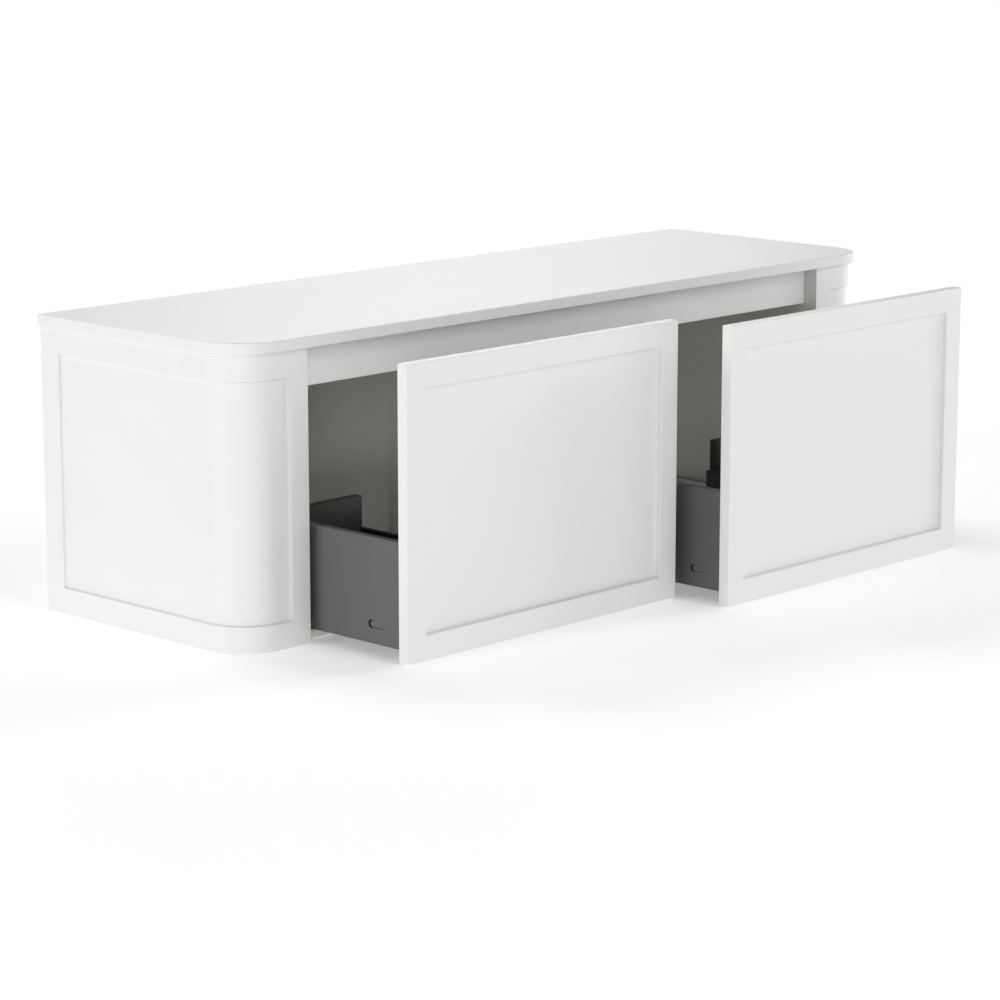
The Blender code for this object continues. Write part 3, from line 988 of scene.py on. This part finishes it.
def screwed(name, seats, radius, height, crown):
    """Screw heads on the cabinet; seats are pairs of a place and a direction."""
    points = bpy.data.meshes.new(name)
    points.from_pydata([place for place, _ in seats], [], [])
    facing = points.attributes.new("facing", "FLOAT_VECTOR", "POINT")
    for point, (_, direction) in enumerate(seats):
        facing.data[point].vector = direction
    values = {"Head radius": radius, "Head height": height, "Crown": crown, "Finish": zinc}
    heads = grown(name, SCREWS, values, points)
    heads.data.shade_smooth()
    heads.data.set_sharp_from_angle(angle=math.radians(30))
    return ready(heads, "cabinet")


# %% The back panel, countersunk and screwed on
SINK_RADIUS = 0.0044
SINK_DEPTH = 0.0018
SINK_CLEARANCE = 0.0002
BACK_SCREW_RADIUS = 0.0040
BACK_SCREW_CROWN = 0.97
UPRIGHT_ROW = (0.05, 0.41)
BOTTOM_ROW = (0.15, 0.45)
back_low, back_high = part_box("back_panel")
bottom_low, bottom_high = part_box("bottom_panel")
back_places = []
for upright in ("left_carcass_side", "centre_partition", "right_carcass_side"):
    upright_low, upright_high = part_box(upright)
    x = (upright_low.x + upright_high.x) / 2
    start, end = [(x, back_high.y, z) for z in UPRIGHT_ROW]
    back_places += row(start, end, count=4)
for bay in (-1, 1):
    z = (bottom_low.z + bottom_high.z) / 2
    start, end = [(bay * x, back_high.y, z) for x in BOTTOM_ROW]
    back_places += row(start, end, count=3)
sinks = bmesh.new()
upright_to_back = Matrix.Rotation(math.radians(-90), 4, "X")
for place in back_places:
    bmesh.ops.create_cone(
        sinks,
        cap_ends=True,
        segments=HEAD_SIDES,
        radius1=SINK_RADIUS,
        radius2=SINK_RADIUS,
        depth=2 * SINK_DEPTH,
        matrix=Matrix.Translation(place) @ upright_to_back,
    )
cutters = [loose("sinks", sinks)]
refined("back_panel", "cabinet", board, ease=0, cutters=cutters)
sunk = Vector((0, SINK_DEPTH + SINK_CLEARANCE, 0))
back_seats = [(place - sunk, (0, 1, 0)) for place in back_places]
screwed("back_screws", back_seats, BACK_SCREW_RADIUS, SINK_DEPTH, BACK_SCREW_CROWN)
print("back screws:", len(back_places))

# %% The screws of the cabinet runners
RUNNER_PLATE = 0.0015
RUNNER_SCREW_RADIUS = 0.0032
RUNNER_SCREW_HEIGHT = 0.0017
RUNNER_SCREW_CROWN = 0.72
RUNNER_SCREW_Z = 0.031
RUNNER_ROW_INSET = 0.03
runner_seats = []
for side in SIDES:
    for place in ("outer", "inner"):
        runner_low, runner_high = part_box(f"{side}_{place}_cabinet_runner")
        outward = to_carcass(side, place)
        x = (runner_high.x if outward > 0 else runner_low.x) - outward * RUNNER_PLATE
        start = (x, runner_low.y + RUNNER_ROW_INSET, RUNNER_SCREW_Z)
        end = (x, runner_high.y - RUNNER_ROW_INSET, RUNNER_SCREW_Z)
        runner_seats += [(seat, (-outward, 0, 0)) for seat in row(start, end, count=3)]
screwed(
    "runner_screws",
    runner_seats,
    RUNNER_SCREW_RADIUS,
    RUNNER_SCREW_HEIGHT,
    RUNNER_SCREW_CROWN,
)
print("runner screws:", len(runner_seats))

# %% [markdown]
# ## Stage, light and camera
#
# The cabinet stands on a plain white floor that glows a little, as on a light table, so that its
# shadows stay faint. A dim even surround fills in, and a ring of far soft lamps does the rest: low
# ones at the left and right model the bent corners and the sunk fields, higher ones light the top
# and the back. Area lamps beside the cabinet would light it unevenly; far lamps light every copy of
# a shape alike. A second background, seen by the camera only, keeps the horizon out of sight. The
# camera looks slightly down with a long lens, so that upright edges stay nearly parallel.

# %% The floor
FLOOR_SIZE = 60.0
FLOOR_GAP = 0.0005
FLOOR_TONE = 0.95
FLOOR_GLOW = 0.30
floor_mesh = bpy.data.meshes.new("floor")
half = FLOOR_SIZE / 2
floor_mesh.from_pydata(
    [(-half, -half, 0), (half, -half, 0), (half, half, 0), (-half, half, 0)], [], [(0, 1, 2, 3)]
)
floor = bpy.data.objects.new("floor", floor_mesh)
floor.location.z = cad_low.z - FLOOR_GAP
bpy.context.scene.collection.objects.link(floor)
floor_finish = bpy.data.materials.new("pale_floor")
floor_finish.use_nodes = True
floor_shader = floor_finish.node_tree.nodes["Principled BSDF"]
floor_shader.inputs["Base Color"].default_value = (FLOOR_TONE, FLOOR_TONE, FLOOR_TONE, 1)
floor_shader.inputs["Roughness"].default_value = 0.9
floor_shader.inputs["Specular IOR Level"].default_value = 0.1
floor_shader.inputs["Emission Color"].default_value = (1, 1, 1, 1)
floor_shader.inputs["Emission Strength"].default_value = FLOOR_GLOW
floor_mesh.materials.append(floor_finish)

# %% The surround
SURROUND_STRENGTH = 0.32
world = bpy.data.worlds.new("light tent")
bpy.context.scene.world = world
world.use_nodes = True
surround = world.node_tree.nodes["Background"]
surround.inputs["Color"].default_value = (1, 1, 1, 1)
surround.inputs["Strength"].default_value = SURROUND_STRENGTH
backdrop = world.node_tree.nodes.new("ShaderNodeBackground")
backdrop.inputs["Color"].default_value = (1, 1, 1, 1)
looked_at = world.node_tree.nodes.new("ShaderNodeLightPath")
choice = world.node_tree.nodes.new("ShaderNodeMixShader")
wire(
    world.node_tree,
    looked_at.outputs["Is Camera Ray"], choice.inputs["Fac"],
    surround.outputs["Background"], choice.inputs[1],
    backdrop.outputs["Background"], choice.inputs[2],
    choice.outputs["Shader"], world.node_tree.nodes["World Output"].inputs["Surface"],
)


# %% The far lamps
def far_lamp(name, azimuth, elevation, strength, width=18):
    """A large soft lamp so far away that it lights everything alike; angles in degrees.

    Azimuth 0 stands in front of the cabinet, and negative azimuths stand to its left. The width is
    how large the lamp looks, and a wider one casts softer shadows.
    """
    data = bpy.data.lights.new(name, "SUN")
    data.energy = strength
    data.angle = math.radians(width)
    light = bpy.data.objects.new(name, data)
    bpy.context.scene.collection.objects.link(light)
    turn, rise = math.radians(azimuth), math.radians(elevation)
    towards = Vector(
        (math.sin(turn) * math.cos(rise), -math.cos(turn) * math.cos(rise), math.sin(rise))
    )
    light.rotation_mode = "QUATERNION"
    light.rotation_quaternion = towards.to_track_quat("Z", "Y")
    return light


for lamp in (
    ("left", -100, 8, 0.90, 12),
    ("behind left", -135, 20, 0.29),
    ("front left, low", -46, 4, 0.54),
    ("front, low", 0, 20, 0.28),
    ("front, high", 0, 40, 0.34),
    ("right", 75, 12, 1.09),
    ("behind right", 135, 20, 0.22),
    ("behind, high", 180, 45, 0.63),
):
    far_lamp(*lamp)

# %% The camera
LENS_MM = 118.81
CAMERA_PLACE = (-3.9076, -3.7970, 1.2286)
CAMERA_TURN = 46.163
CAMERA_DIP = 11.725
camera_data = bpy.data.cameras.new("camera")
camera = bpy.data.objects.new("camera", camera_data)
bpy.context.scene.collection.objects.link(camera)
camera_data.lens = LENS_MM
camera_data.sensor_width = 36.0
camera.location = CAMERA_PLACE
yaw, pitch = math.radians(CAMERA_TURN), math.radians(CAMERA_DIP)
look = Vector(
    (math.sin(yaw) * math.cos(pitch), math.cos(yaw) * math.cos(pitch), -math.sin(pitch))
)
camera.rotation_mode = "QUATERNION"
camera.rotation_quaternion = look.to_track_quat("-Z", "Y")
bpy.context.scene.camera = camera
bpy.context.scene.view_settings.view_transform = "Standard"
